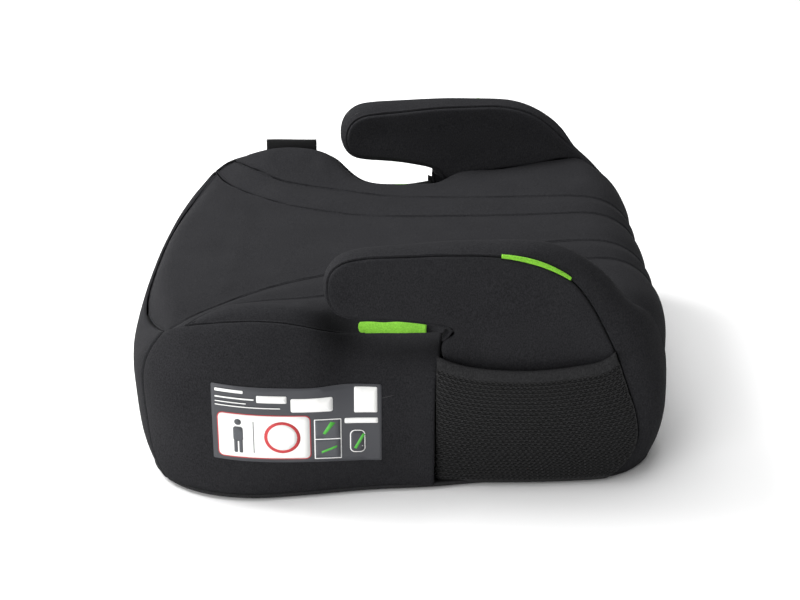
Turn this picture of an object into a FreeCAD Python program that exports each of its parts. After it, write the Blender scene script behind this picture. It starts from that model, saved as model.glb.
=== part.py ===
"""Backless car booster seat: a moulded tub with ribs, two horned armrests, foam pads and a sewn cover.

Row frame in millimetres: +X is the way the child faces, +Y the child's left, +Z up. The origin is the
middle of the footprint, on the plane that the rubber feet stand on. Layers are cut from one another, so
that they meet face to face.
"""

import FreeCAD
import Part

import math
import os

V = FreeCAD.Vector

# Driving dimensions
LENGTH = 420.0  # over the cover, front to back
HIP_WIDTH = 440.0  # over the cover, at the hip wings
ARM_TOP = 192.0  # top of the armrests above the floor
ARM_OUT = 193.5  # outer face of each armrest, from the middle plane
ARM_THICK = 28.0  # armrest with its cover
SLOT_FLOOR = 112.0  # where the lap belt lies, above the floor
SLOT_ROOF = 137.0  # underside of the horn
SLOT_END = 44.0  # front end of the belt slot, along X
PAN_HALF = 150.0  # half width of the seat surface beside the belt slots
SPLIT_X = 26.0  # upright seam between the hip panel and the armrest panel

# Layers
COVER = 3.0  # sewn cover with its wadding
ARM_COVER = 2.5
ARM_FOAM = 3.5
WALL = 3.0  # moulded tub wall
RIB = 2.4
TUB_TOP = 94.0  # flat roof of the tub, under the foam

# Ribs: a grid under the tub's roof, and cross ribs in the armrest cores
TUB_RIBS = range(-168, 169, 42)  # along X and Y
TUB_RIB_FOOT = 50.0  # height of the grid's lower edge
CORE_RIBS_X = (-20, 12, 44, 82, 126, 160)
CORE_RIBS_Z = (28, 72, 112, 150)

# Underside
FOOT = 3.0  # height of the rubber feet, and of the tub's rim above the floor
HEM = 1.8  # height of the turned-under hem
HEM_REACH = 15.0  # how far the hem reaches inward
ELASTIC_REACH = 22.0
OPENING = (136, 138)  # half sizes of the tub's opening inside its rim, along X and Y
OPENING_RADIUS = 30.0
RIM_THICK = 4.0
FEET = [(-152, 130), (156, 110)]  # (X, half width)
FOOT_RADIUS = 12.0

# Screws that go sideways through the tub's wall into the armrest cores
SCREW_X = (60, 104, 148)
SCREW_Z = 50.0
SCREW_RADIUS = 2.0
SCREW_REACH = 20.0
HEAD_RADIUS = 4.0
HEAD_DEPTH = 2.4
BOSS_RADIUS = 7.0

# Trim
TAB_X = (-32, 20)  # green ribbon at the belt slot
STRIP_X = (72, 124)  # green piping on the armrest
PIPING = 3.6
LABEL_X = (-141, -10)
LABEL_Z = (28, 98)
TAG_X = (-128, -80)
TAG_TOP = 147.0
BINDING = 13.0  # height of the pocket's binding
BAND_OUT = 0.4  # the binding's face beyond the mesh, on each side
MESH = 1.4
POCKET_GAP = 0.5  # between the pocket and the upright seam
RIBBON = 1.2
RIBBON_Z = (SLOT_FLOOR - 12, SLOT_FLOOR + 2)
STRIP_FOOT = 140.0  # below this the piping's outline belongs to the horn's underside
LABEL_THICK = 0.6
TAG_THICK = 1.0
TAG_FOOT = 110.0

HALF_LENGTH = LENGTH / 2
HALF_HIP = HIP_WIDTH / 2
ARM_IN = ARM_OUT - ARM_THICK
CORE_OUT = ARM_OUT - ARM_COVER - ARM_FOAM
CORE_IN = ARM_IN + ARM_COVER + ARM_FOAM
BIG = 400.0  # larger than any half size, for cutting boxes
SLIVER = 250.0  # cubic millimetres, under which a cut's leavings are dropped
SIDES = {"left": 1, "right": -1}  # the child's left is +Y

# Plan of the seat over the cover: (X, half width), from the rear middle to the front middle
PLAN = [
    (-HALF_LENGTH, 0), (-209, 80), (-205, 135), (-190, 180), (-155, 208), (-108, HALF_HIP), (-60, 216),
    (0, 207), (60, 202), (120, 199), (165, 190), (193, 163), (206, 120), (209, 60), (HALF_LENGTH, 0),
]
# Where the cover meets the floor
FOOTPRINT = [
    (-186, 0), (-187, 80), (-183, 140), (-165, 186), (-146, 205), (-110, 217), (-60, 209), (26, 199),
    (92, 193), (154, 187), (175, 170), (190, 120), (194, 60), (195, 0),
]
# Side view of the seat surface over the cover: (X, Z), from the rear floor edge over the top to the front
PROFILE_REAR = [(-186, HEM), (-204, 34), (-HALF_LENGTH, 72), (-203, 98)]
PROFILE_TOP = [(-184, 112), (-150, 116), (-80, 120), (0, 126), (90, 132), (155, 135), (183, 128)]
PROFILE_FRONT = [(202, 105), (HALF_LENGTH, 72), (206, 34), (195, HEM)]
# Top of a hip wing, and of the belt slot's floor in front of it: (X, Z)
WING = [(-184, 112), (-156, 134), (-128, 141), (-100, 142), (-76, 137), (-58, 125), (-44, 114)]
WING_END = -58.0  # where the wing's shoulder gives way to the slot's
# Cross-sections of a hip wing and of the belt slot's floor: (half width, Z)
WING_SECTION = [(185, 146), (198, 136), (212, 118), (HALF_HIP, 96)]
SLOT_SECTION = [(168, SLOT_FLOOR), (176, 106), (192, 100), (203, 90), (216, 70)]
# Armrest outline over the cover: corners (X, Z) and their radii, from the rear foot
ARM = [
    (SPLIT_X, HEM, 2), (196, HEM, 26), (216, 62, 60), (196, 118, 60), (122, ARM_TOP, 58), (60, ARM_TOP, 200),
    (-55, ARM_TOP - 5, 23), (-57, SLOT_ROOF + 1, 20), (20, SLOT_ROOF, 60), (SLOT_END + 3, SLOT_ROOF - 5, 9),
    (SLOT_END + 1, SLOT_FLOOR - 1, 9), (SPLIT_X, SLOT_FLOOR - 2, 5),
]
# Front seam of the armrest's outer panel, from its shoulder to the floor: (X, Z)
PANEL_FRONT = [(84, 190), (122, 170), (146, 136), (162, 104), (177, 66), (178, 36), (166, HEM)]
# Quilting lines of the seat, from the rear to the front: (X, half width)
LINE_INNER = [(-230, 146), (-170, 124), (-105, 94), (-57, 70), (2, 52), (64, 39), (150, 32), (230, 32)]
LINE_OUTER = [(-230, 180), (-156, 148), (-114, 139), (-62, 120), (-18, 102), (55, 84), (126, 76), (230, 69)]
# Plan of the pocket's mesh, outside the armrest: (X, half width)
POCKET = [(27, 196), (46, 201), (98, 202), (148, 200), (182, 192)]
# Upper edge of the pocket: (X, Z)
POCKET_TOP = [(20, 109), (50, 99), (91, 96), (130, 101), (180, 120)]


def mirrored(points):
    """A half outline from the rear middle to the front middle, closed on the other side."""
    return points + [(x, -y) for x, y in reversed(points[1:-1])]


def inward(points, distance):
    """A closed outline's points moved inward along the local normal."""
    moved = []
    for i, (x, y) in enumerate(points):
        ax, ay = points[i - 1]
        bx, by = points[(i + 1) % len(points)]
        length = math.hypot(bx - ax, by - ay)
        moved.append((x + distance * (by - ay) / length, y - distance * (bx - ax) / length))
    return moved


def box(x0, x1, y0, y1, z0, z1):
    return Part.makeBox(x1 - x0, y1 - y0, z1 - z0, V(x0, y0, z0))


def both(shape):
    """A shape on the child's left with its mirror image on the right."""
    return shape.fuse(shape.mirror(V(0, 0, 0), V(0, 1, 0)))


def on_side(shape, side):
    return shape if SIDES[side] > 0 else shape.mirror(V(0, 0, 0), V(0, 1, 0))


def spline_edge(points):
    curve = Part.BSplineCurve()
    curve.interpolate(points)
    return curve.toShape()


def outline_prism(half_outline, inset, z0, z1):
    """Upright prism inside a plan outline, moved in by inset."""
    curve = Part.BSplineCurve()
    points = inward(mirrored(half_outline), inset)
    curve.interpolate([V(x, y, z0) for x, y in points], PeriodicFlag=True)
    return Part.Face(Part.Wire(curve.toShape())).extrude(V(0, 0, z1 - z0))


def polygon(points):
    return Part.Wire(Part.makePolygon(points + points[:1]))


def sideways(wire, y0, y1):
    """An outline in the XZ plane extruded from y0 to y1."""
    return Part.Face(wire).translated(V(0, y0, 0)).extrude(V(0, y1 - y0, 0))


def closed_by_lines(curve, corners):
    """Wire of a curve whose ends are joined through the corners."""
    chain = [curve.valueAt(curve.LastParameter)] + corners + [curve.valueAt(curve.FirstParameter)]
    lines = [Part.LineSegment(a, b).toShape() for a, b in zip(chain, chain[1:])]
    return Part.Wire([curve] + lines)


def rounded(corners):
    """Wire in the XZ plane through (X, Z, radius) corners, with tangent arcs."""
    arcs = []
    for i, (x, z, radius) in enumerate(corners):
        ax, az, _ = corners[i - 1]
        bx, bz, _ = corners[(i + 1) % len(corners)]
        to_a = V(ax - x, 0, az - z)
        to_b = V(bx - x, 0, bz - z)
        half = to_a.getAngle(to_b) / 2
        to_a.normalize()
        to_b.normalize()
        corner = V(x, 0, z)
        reach = radius / math.tan(half)
        bisector = (to_a + to_b).normalize()
        middle = corner + bisector * (radius / math.sin(half) - radius)
        arcs.append((corner + to_a * reach, middle, corner + to_b * reach))
    edges = []
    for (start, middle, end), following in zip(arcs, arcs[1:] + arcs[:1]):
        edges.append(Part.Arc(start, middle, end).toShape())
        edges.append(Part.LineSegment(end, following[0]).toShape())
    return Part.Wire(edges)


def seat_block(inset, drop):
    """The seat inside the cover's outer surface: walls moved in by inset, the top lowered by drop."""
    rear = [V(x + inset, 0, z) for x, z in PROFILE_REAR]
    top = [V(x, 0, z - drop) for x, z in PROFILE_TOP]
    front = [V(x - inset, 0, z) for x, z in PROFILE_FRONT]
    side_view = sideways(closed_by_lines(spline_edge(rear + top + front), []), -BIG, BIG)
    return side_view.common(outline_prism(PLAN, inset, HEM, BIG))


def pan_region():
    """Where the seat surface lies: between the slots at the rear, between the armrests at the front."""
    rear = box(-BIG, SLOT_END, -PAN_HALF, PAN_HALF, -BIG, BIG)
    return rear.fuse(box(SLOT_END, BIG, -ARM_IN, ARM_IN, -BIG, BIG)).removeSplitter()


def section_prism(section, inset, drop, x0, x1):
    """Cross-section under a falling shoulder, extruded along X."""
    shoulder = [V(x0, y - inset, z - drop) for y, z in section]
    top = shoulder[0].z
    points = [V(x0, 0, HEM), V(x0, 0, top)] + shoulder + [V(x0, BIG, shoulder[-1].z), V(x0, BIG, HEM)]
    return Part.Face(polygon(points)).extrude(V(x1 - x0, 0, 0))


def hip_block(inset, drop):
    """Left hip wing, and the belt slot's floor in front of it, outside the seat surface."""
    rear = [V(x + inset, 0, z) for x, z in PROFILE_REAR]
    ridge = spline_edge(rear + [V(x, 0, z - drop) for x, z in WING])
    floor = SLOT_FLOOR - drop
    corners = [V(SLOT_END, 0, floor), V(SLOT_END, 0, HEM)]
    side_view = sideways(closed_by_lines(ridge, corners), PAN_HALF, BIG)
    wing = section_prism(WING_SECTION, inset, drop, -BIG, WING_END)
    slot = section_prism(SLOT_SECTION, inset, drop, WING_END, BIG)
    block = side_view.common(outline_prism(PLAN, inset, HEM, BIG)).common(wing.fuse(slot))
    return block.cut(box(SPLIT_X, BIG, ARM_IN, BIG, -BIG, BIG))


def arm_block(inset):
    """Left armrest from the floor to the top of the horn, moved in by inset all round."""
    wire = rounded(ARM)
    if inset:
        wire = wire.makeOffset2D(-inset)
    blank = sideways(wire, ARM_IN + inset, ARM_OUT - inset)
    return blank.common(outline_prism(PLAN, inset, HEM, BIG))


def beyond_line(line):
    """Upright prism outside a quilting line, on the child's left."""
    curve = spline_edge([V(x, y, 0) for x, y in line])
    wire = closed_by_lines(curve, [V(line[-1][0], BIG, 0), V(line[0][0], BIG, 0)])
    return Part.Face(wire).extrude(V(0, 0, BIG))


def rear_zone():
    """Behind the seam between the rear panel and everything else."""
    return box(-BIG, PROFILE_TOP[0][0], -BIG, BIG, -BIG, BIG)


def seat_cover(skin):
    """The seat's quilted panels: a centre, two channels and two bolsters, down to the front hem."""
    panels = {}
    top = skin.cut(rear_zone())
    outside = beyond_line(LINE_INNER)
    panels["cover_centre_panel"] = top.cut(both(outside))
    for side in SIDES:
        strip = top.common(on_side(outside, side))
        bolster = on_side(beyond_line(LINE_OUTER), side)
        panels[f"cover_channel_{side}"] = strip.cut(bolster)
        panels[f"cover_bolster_{side}"] = strip.common(bolster)
    return panels


def hip_cover():
    """Left hip wing's cover: its top, the belt slot's floor, and its outer side."""
    skin = hip_block(0, 0).cut(hip_block(COVER, COVER)).cut(rear_zone())
    wall = skin.cut(outline_prism(PLAN, COVER, -BIG, BIG))
    top = skin.common(outline_prism(PLAN, COVER, -BIG, BIG))
    slot = box(WING_END, BIG, -BIG, BIG, -BIG, BIG)
    return top.cut(slot), top.common(slot), wall


def panel_zone():
    """Everything behind the front seam of the armrest's outer panel."""
    curve = spline_edge([V(x, 0, z) for x, z in PANEL_FRONT])
    corners = [V(PANEL_FRONT[-1][0], 0, -20), V(-BIG, 0, -20), V(-BIG, 0, BIG), V(PANEL_FRONT[0][0], 0, BIG)]
    return sideways(closed_by_lines(curve, corners), 0, BIG)


def arm_cover():
    """Left armrest's cover: outer panel, inner panel above the seat, and the gusset between them."""
    skin = arm_block(0).cut(arm_block(ARM_COVER))
    outer = skin.common(box(-BIG, BIG, ARM_OUT - ARM_COVER, BIG, -BIG, BIG)).common(panel_zone())
    inner_slab = skin.common(box(-BIG, BIG, -BIG, ARM_IN + ARM_COVER, -BIG, BIG))
    band = skin.cut(outer).cut(inner_slab)
    band = band.cut(box(SPLIT_X + ARM_COVER, BIG, -BIG, ARM_OUT - ARM_COVER, -BIG, HEM + ARM_COVER))
    return outer, inner_slab.common(box(-BIG, BIG, -BIG, BIG, TUB_TOP, BIG)), band


def arm_core():
    """Left armrest's moulded core: open to the inside, with cross ribs and screw bosses."""
    block = arm_block(ARM_COVER + ARM_FOAM)
    hollow = rounded(ARM).makeOffset2D(-(ARM_COVER + ARM_FOAM + WALL))
    pocket = sideways(hollow, CORE_IN, CORE_OUT - WALL)
    pocket = pocket.common(outline_prism(PLAN, ARM_COVER + ARM_FOAM + WALL, 0, BIG))
    for x in CORE_RIBS_X:
        pocket = pocket.cut(box(x, x + RIB, CORE_IN, CORE_OUT, 0, BIG))
    for z in CORE_RIBS_Z:
        pocket = pocket.cut(box(SPLIT_X, BIG, CORE_IN, CORE_OUT, z, z + RIB))
    core = block.cut(pocket)
    for x in SCREW_X:
        core = core.fuse(along_y(BOSS_RADIUS, x, ARM_IN, CORE_OUT - WALL))
    for x in SCREW_X:
        core = core.cut(along_y(SCREW_RADIUS, x, ARM_IN, ARM_IN + SCREW_REACH))
    return core


def along_y(radius, x, y0, y1):
    return Part.makeCylinder(radius, y1 - y0, V(x, y0, SCREW_Z), V(0, 1, 0))


def arm_foam(core_block):
    """Wadding between the core and the cover; the inner side starts above the tub."""
    foam = arm_block(ARM_COVER).cut(core_block)
    return foam.cut(box(-BIG, BIG, -BIG, CORE_IN, -BIG, TUB_TOP))


def arm_screws():
    """Pan-head screws from inside the tub, three in each armrest."""
    screws = []
    for x in SCREW_X:
        head = along_y(HEAD_RADIUS, x, ARM_IN - WALL - HEAD_DEPTH, ARM_IN - WALL)
        shank = along_y(SCREW_RADIUS, x, ARM_IN - WALL, ARM_IN + SCREW_REACH)
        screws.append(head.fuse(shank).removeSplitter())
    mirror = [s.mirror(V(0, 0, 0), V(0, 1, 0)) for s in screws]
    return Part.makeCompound(screws + mirror)


def tub_solid(inset, z0, z1):
    """The tub's outline moved in by inset: between the armrests, and out to the hips behind them."""
    slab = box(-BIG, BIG, -BIG, BIG, z0, z1)
    front = box(SPLIT_X - inset, BIG, -ARM_IN + inset, ARM_IN - inset, z0, z1)
    rear = box(-BIG, SPLIT_X - inset, -BIG, BIG, z0, z1)
    side_view = seat_block(inset, 0).common(slab).common(front.fuse(rear).removeSplitter())
    hips = section_prism(SLOT_SECTION, inset, COVER, -BIG, BIG)
    return side_view.common(hips.fuse(hips.mirror(V(0, 0, 0), V(0, 1, 0))).removeSplitter())


def tub():
    """The moulded tub: walls, a flat roof, a rib grid and a rim along the floor."""
    hollow = tub_solid(COVER + WALL, FOOT + RIM_THICK, TUB_TOP - WALL)
    for middle in TUB_RIBS:
        low, high = middle - RIB / 2, middle + RIB / 2
        hollow = hollow.cut(box(low, high, -BIG, BIG, TUB_RIB_FOOT, BIG))
        if abs(middle) < ARM_IN - RIB:
            hollow = hollow.cut(box(-BIG, BIG, low, high, TUB_RIB_FOOT, BIG))
    shell = tub_solid(COVER, FOOT, TUB_TOP).cut(hollow)
    half_x, half_y = OPENING
    opening = box(-half_x, half_x, -half_y, half_y, 0, FOOT + RIM_THICK + 1)
    upright_edges = [e for e in opening.Edges if abs(e.tangentAt(0).z) > 0.5]
    shell = shell.cut(opening.makeFillet(OPENING_RADIUS, upright_edges))
    for side in SIDES.values():
        for x in SCREW_X:
            shell = shell.cut(along_y(SCREW_RADIUS, x, min(0, side * BIG), max(0, side * BIG)))
    return shell


def pocket_shell(outward, thick):
    """Upright curved plate along the pocket's plan line, on the child's left."""
    outer = spline_edge([V(x, y + outward, HEM) for x, y in POCKET])
    inner = outer.translated(V(0, -thick, 0))
    a = Part.LineSegment(outer.Vertexes[0].Point, inner.Vertexes[0].Point).toShape()
    b = Part.LineSegment(outer.Vertexes[-1].Point, inner.Vertexes[-1].Point).toShape()
    face = Part.Face(Part.Wire([outer, b, inner, a]))
    return face.extrude(V(0, 0, BIG))


def below_pocket_line(lowered):
    curve = spline_edge([V(x, 0, z - lowered) for x, z in POCKET_TOP])
    corners = [V(POCKET_TOP[-1][0], 0, 0), V(POCKET_TOP[0][0], 0, 0)]
    return sideways(closed_by_lines(curve, corners), 0, BIG)


def pocket():
    """Left pocket: spacer mesh sewn in at the sides and the floor, and its bound upper edge."""
    clear = box(SPLIT_X + POCKET_GAP, BIG, ARM_OUT, BIG, HEM, BIG)
    zone = panel_zone().common(clear)
    under = below_pocket_line(BINDING)
    mesh = pocket_shell(0, MESH).common(under).common(zone)
    wall_line = spline_edge([V(x, y, HEM) for x, y in POCKET])
    first, last = POCKET[0], POCKET[-1]
    floor = Part.Face(closed_by_lines(wall_line, [V(last[0], ARM_OUT, HEM), V(first[0], ARM_OUT, HEM)]))
    mesh = mesh.fuse(floor.extrude(V(0, 0, MESH)).common(zone)).removeSplitter()
    band = pocket_shell(BAND_OUT, MESH + 2 * BAND_OUT).common(below_pocket_line(0)).common(zone).cut(under)
    return mesh, band


def belt_tab():
    """Green ribbon in the outer seam of the left belt slot's floor, marking where the lap belt lies."""
    y = SLOT_SECTION[1][0]
    ribbon = box(*TAB_X, y, y + RIBBON, *RIBBON_Z)
    return ribbon.cut(hip_block(0, 0))


def green_strip():
    """Green piping on the left armrest's outer shoulder seam."""
    ring = sideways(rounded(ARM).makeOffset2D(PIPING / 2), ARM_OUT - PIPING / 2, ARM_OUT + PIPING / 2)
    ring = ring.cut(sideways(rounded(ARM).makeOffset2D(-PIPING / 2), 0, BIG)).cut(arm_block(0))
    return ring.common(box(*STRIP_X, -BIG, BIG, STRIP_FOOT, BIG))


def label():
    """Printed label sewn flat on the right hip panel."""
    plate = outline_prism(PLAN, -LABEL_THICK, *LABEL_Z).cut(outline_prism(PLAN, 0, -BIG, BIG))
    return plate.common(box(*LABEL_X, -BIG, 0, -BIG, BIG))


def woven_tag():
    """Folded tag that stands up from the left hip wing's seam."""
    y = WING_SECTION[1][0]
    return box(*TAG_X, y, y + TAG_THICK, TAG_FOOT, TAG_TOP).cut(hip_block(0, 0))


def ring(outer, inner):
    """Flat ring along the floor edge, between two distances inward."""
    plate = outline_prism(FOOTPRINT, outer, HEM, FOOT)
    return plate.cut(outline_prism(FOOTPRINT, inner, -BIG, BIG))


def build():
    parts = {}
    pan = pan_region()
    above_tub = box(-BIG, BIG, -BIG, BIG, TUB_TOP, BIG)
    skin = seat_block(0, 0).cut(seat_block(COVER, COVER))
    rear_panel = skin.common(rear_zone())
    parts["cover_rear_panel"] = rear_panel
    parts.update(seat_cover(skin.common(pan)))
    parts["seat_foam_pad"] = seat_block(COVER, COVER).common(pan).common(above_tub)
    parts["seat_tub"] = tub()
    hip_top, slot_floor, hip_side = hip_cover()
    hip_foam = hip_block(COVER, COVER).common(above_tub).cut(rear_panel)
    outer_panel, inner_panel, gusset = arm_cover()
    core_block = arm_block(ARM_COVER + ARM_FOAM)
    mesh, binding = pocket()
    pairs = {
        "cover_hip_top": hip_top, "cover_slot_floor": slot_floor, "cover_hip_side": hip_side,
        "hip_foam": hip_foam,
        "armrest_outer_panel": outer_panel, "armrest_inner_panel": inner_panel, "armrest_gusset": gusset,
        "armrest_core": arm_core(), "armrest_foam": arm_foam(core_block),
        "pocket_mesh": mesh, "pocket_binding": binding,
        "belt_marker_tab": belt_tab(), "armrest_piping": green_strip(),
    }
    for name, shape in pairs.items():
        for side in SIDES:
            parts[f"{name}_{side}"] = on_side(shape, side)
    parts["armrest_screws"] = arm_screws()
    feet = [(x, s * y) for x, y in FEET for s in SIDES.values()]
    parts["rubber_feet"] = Part.makeCompound(
        [Part.makeCylinder(FOOT_RADIUS, FOOT, V(x, y, 0)) for x, y in feet]
    )
    skins = [s for n, s in parts.items() if n.startswith(("cover", "armrest_outer", "armrest_gusset"))]
    parts["cover_hem"] = ring(COVER, HEM_REACH).cut(Part.makeCompound(skins))
    parts["hem_elastic"] = ring(HEM_REACH, ELASTIC_REACH)
    parts["instruction_label"] = label()
    parts["woven_tag"] = woven_tag()
    return parts


def main():
    os.makedirs("parts", exist_ok=True)
    for name, shape in build().items():
        solids = [s for s in shape.Solids if s.Volume > SLIVER]
        shape = solids[0] if len(solids) == 1 else Part.makeCompound(solids)
        shape.exportStep(f"parts/{name}.step")
        sizes = " ".join(f"{s.Volume / 1000:.1f}" for s in solids)
        print(f"{name:28s} {'ok' if shape.isValid() else 'INVALID'}  cm3 {sizes}")


main()
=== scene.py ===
"""Backless car booster seat around its CAD frame: sewn knit cover, mesh pockets, green belt markers.

Sizes in the tables are millimetres in the row frame: +X forward, +Y the child's left, +Z up. Outlines are
given for the child's left and mirrored for the right.
"""
import math

import bmesh
import bpy
import numpy as np
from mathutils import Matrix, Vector
from mathutils.bvhtree import BVHTree
from mathutils.geometry import delaunay_2d_cdt


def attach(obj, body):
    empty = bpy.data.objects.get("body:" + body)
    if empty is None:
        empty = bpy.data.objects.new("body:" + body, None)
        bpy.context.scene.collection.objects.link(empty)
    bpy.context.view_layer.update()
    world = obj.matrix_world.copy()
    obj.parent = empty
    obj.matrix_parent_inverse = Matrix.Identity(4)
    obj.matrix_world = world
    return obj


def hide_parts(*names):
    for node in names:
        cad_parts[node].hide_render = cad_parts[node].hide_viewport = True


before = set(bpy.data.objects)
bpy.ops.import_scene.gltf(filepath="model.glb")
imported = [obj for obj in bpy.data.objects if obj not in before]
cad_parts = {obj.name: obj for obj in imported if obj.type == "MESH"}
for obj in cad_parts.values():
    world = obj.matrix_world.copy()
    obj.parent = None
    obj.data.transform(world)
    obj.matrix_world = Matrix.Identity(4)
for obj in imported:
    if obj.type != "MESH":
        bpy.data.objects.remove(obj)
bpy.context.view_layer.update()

MM = 0.001
SIDES = {"left": 1, "right": -1}

# Sewn panels
ROLL = 2.6  # radius of the fabric's turn into a seam
CROWN = 0.8  # softer fall towards a seam, outside the turn
CROWN_REACH = 10.0
PILLOW_REACH = 15.0  # how far from a seam the padding's swell has gone
THICK = 2.2  # fabric with its bonded wadding
GRID = 5.0  # spacing of a panel's mesh
EDGE_STEPS = (0, 0.4, 1.0, 1.8, 2.8, 4.2)  # extra rows beside a seam
PINNED = 5.0  # cloth within this distance of a seam doesn't move
SIM_FRAMES = 16
CLOTH = {"quality": 6, "mass": 0.25, "tension_stiffness": 12, "compression_stiffness": 12,
         "shear_stiffness": 6, "bending_stiffness": 1.5, "use_pressure": True, "vertex_group_mass": "seam",
         "pin_stiffness": 1.0}

# Lanes of the seat, from the rear seam over the front to the floor
CENTRE = [
    (-207.5, 0, 94.5), (-199.5, 0, 107), (-181, 0, 115), (-150, 0, 117.5), (-115, 0, 118.5), (-88, 0, 119.3),
    (-62, 0, 120), (-50, 0, 120.5), (-38, 0, 121), (-20, 0, 122), (0, 0, 123.3), (20, 0, 125),
    (36, 0, 126.4), (50, 0, 127.6), (80, 0, 130), (110, 0, 132), (140, 0, 134), (158, 0, 134.8),
    (174, 0, 133), (191, 0, 125), (203, 0, 110.5), (207.5, 0, 91), (208.5, 0, 71), (209, 0, 47),
    (206, 0, 24), (199.5, 0, 4),
]
REAR_NEAR = [(-206, 58, 95.5), (-198, 57, 107.3), (-180, 53, 115), (-151, 46, 117.6)]
REAR_FAR = [(-196.2, 120, 102.1), (-187.5, 116, 110.5), (-173, 107, 116), (-150, 93, 117.8)]
INNER_LINE = [
    (-175, 179.5, 119.8), (-170, 167, 118.8), (-161, 151.5, 118.3), (-143, 130, 118.3), (-112, 101, 119),
    (-87, 84, 119.6), (-62, 72, 120.3), (-50, 66.5, 120.8), (-38, 62, 121.4), (-20, 56.5, 122.5),
    (0, 52, 123.8), (20, 48, 125.4), (36, 45, 126.8), (50, 42, 128), (80, 37, 130.3), (110, 34, 132.5),
    (140, 32, 134.6), (158, 32, 135.2), (174, 32, 133.3), (191, 32, 125.3), (203.2, 32, 110.8),
    (207.7, 32, 91), (208.4, 32, 71), (209, 32, 47), (206, 32, 24), (199.5, 32, 4),
]
OUTER_LINE = [
    (-158, 186, 128.3), (-154, 181, 129.3), (-149, 174, 130), (-134, 158, 129.5), (-113, 140, 126.8),
    (-89, 130, 124.6), (-62, 122, 123.6), (-50, 117, 123.7), (-38, 111.5, 124), (-20, 104, 124.6),
    (0, 97, 125.6), (20, 92, 126.9), (36, 88.5, 128), (50, 86, 129), (80, 81, 131), (110, 77.5, 133),
    (140, 74, 135), (158, 72, 135.6), (174, 71, 134), (191, 70.5, 126), (203.5, 70, 111.5),
    (208, 70, 91.5), (208.2, 70, 70.5), (208.8, 70, 47), (205.8, 70, 24), (199.2, 70, 4),
]
BOLSTER_INNER = [
    (-157.5, 187, 128.5), (-153, 184, 131), (-147, 180, 133), (-133, 171, 135), (-112, 158, 134.5),
    (-88, 150, 131.5), (-62, 142, 127.5), (-50, 137, 125.8), (-38, 131, 125.2), (-20, 125, 125),
    (0, 120, 125.8), (20, 118, 127), (36, 116, 128.2), (50, 114, 129.5), (80, 111, 131.6),
    (110, 108, 133.6), (140, 105, 135.6), (158, 104, 136.3), (174, 103, 135), (191, 102, 127.5),
    (203, 101, 113), (207.8, 100, 92.5), (208, 100, 71), (208, 100, 47), (205, 100, 24), (198.5, 100, 4),
]
BOLSTER_MIDDLE = [
    (-157, 188, 128.6), (-152, 186, 132), (-146, 184.5, 134.5), (-132, 181, 138), (-111, 175, 140),
    (-87, 171, 137.5), (-62, 163, 131), (-50, 154, 125.8), (-38, 146, 121.8), (-20, 140.5, 119.8),
    (0, 139, 119.5), (20, 138.5, 120.3), (36, 138, 122), (50, 137, 127), (80, 136, 131.2), (110, 134, 133.6),
    (140, 132, 136), (158, 132, 137), (173, 130, 136.3), (190, 127, 128.8), (201.5, 125, 114.3),
    (206.5, 124, 93), (207, 124, 71), (207.3, 124, 47), (204, 124, 24), (197.5, 124, 4),
]
BOLSTER_RIDGE = [
    (-156.5, 188.6, 128.7), (-151, 189, 132), (-144.5, 189, 134.5), (-131, 189, 138.3), (-110, 188, 141.5),
    (-86, 186.5, 140.5), (-62, 180, 132.5), (-50.5, 168.5, 124), (-38.5, 159, 117.5), (-21, 153, 114.2),
    (0, 151.5, 113.5), (20, 151.5, 113.7), (36, 152.5, 115.5), (49.5, 154, 124.5), (80, 154, 130),
    (110, 153, 133), (140, 152, 136.3), (158, 151.5, 138), (172, 149.5, 137.3), (187.5, 147, 129.3),
    (198.5, 145, 114.8), (204.5, 144, 93), (205.7, 144, 71), (206, 144, 47), (202.7, 145, 24),
    (196, 144, 4),
]
EDGE_SEAM = [
    (-156, 189, 128.6), (-150, 190.5, 130), (-143, 192, 131.2), (-130, 194.5, 133.5), (-109, 197, 135.5),
    (-85, 197, 134.2), (-62, 192, 127.2), (-52, 182, 120.4), (-40, 171, 113.8), (-22, 163.5, 110),
    (0, 161.5, 109), (20, 161.5, 109), (36, 163, 111), (48, 167, 117.3), (80, 167, 124),
    (110, 167, 129.7), (140, 167, 135.3), (158, 166.8, 138), (170, 165, 138.3), (185, 161, 128.5),
    (195.5, 158.5, 114), (201.7, 157.5, 92.5), (203.7, 157.5, 70.5), (204, 158, 47), (200.3, 159, 24),
    (193, 159, 4),
]


def level(z, outline):
    return [(x, y, z) for x, y in outline]


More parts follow.
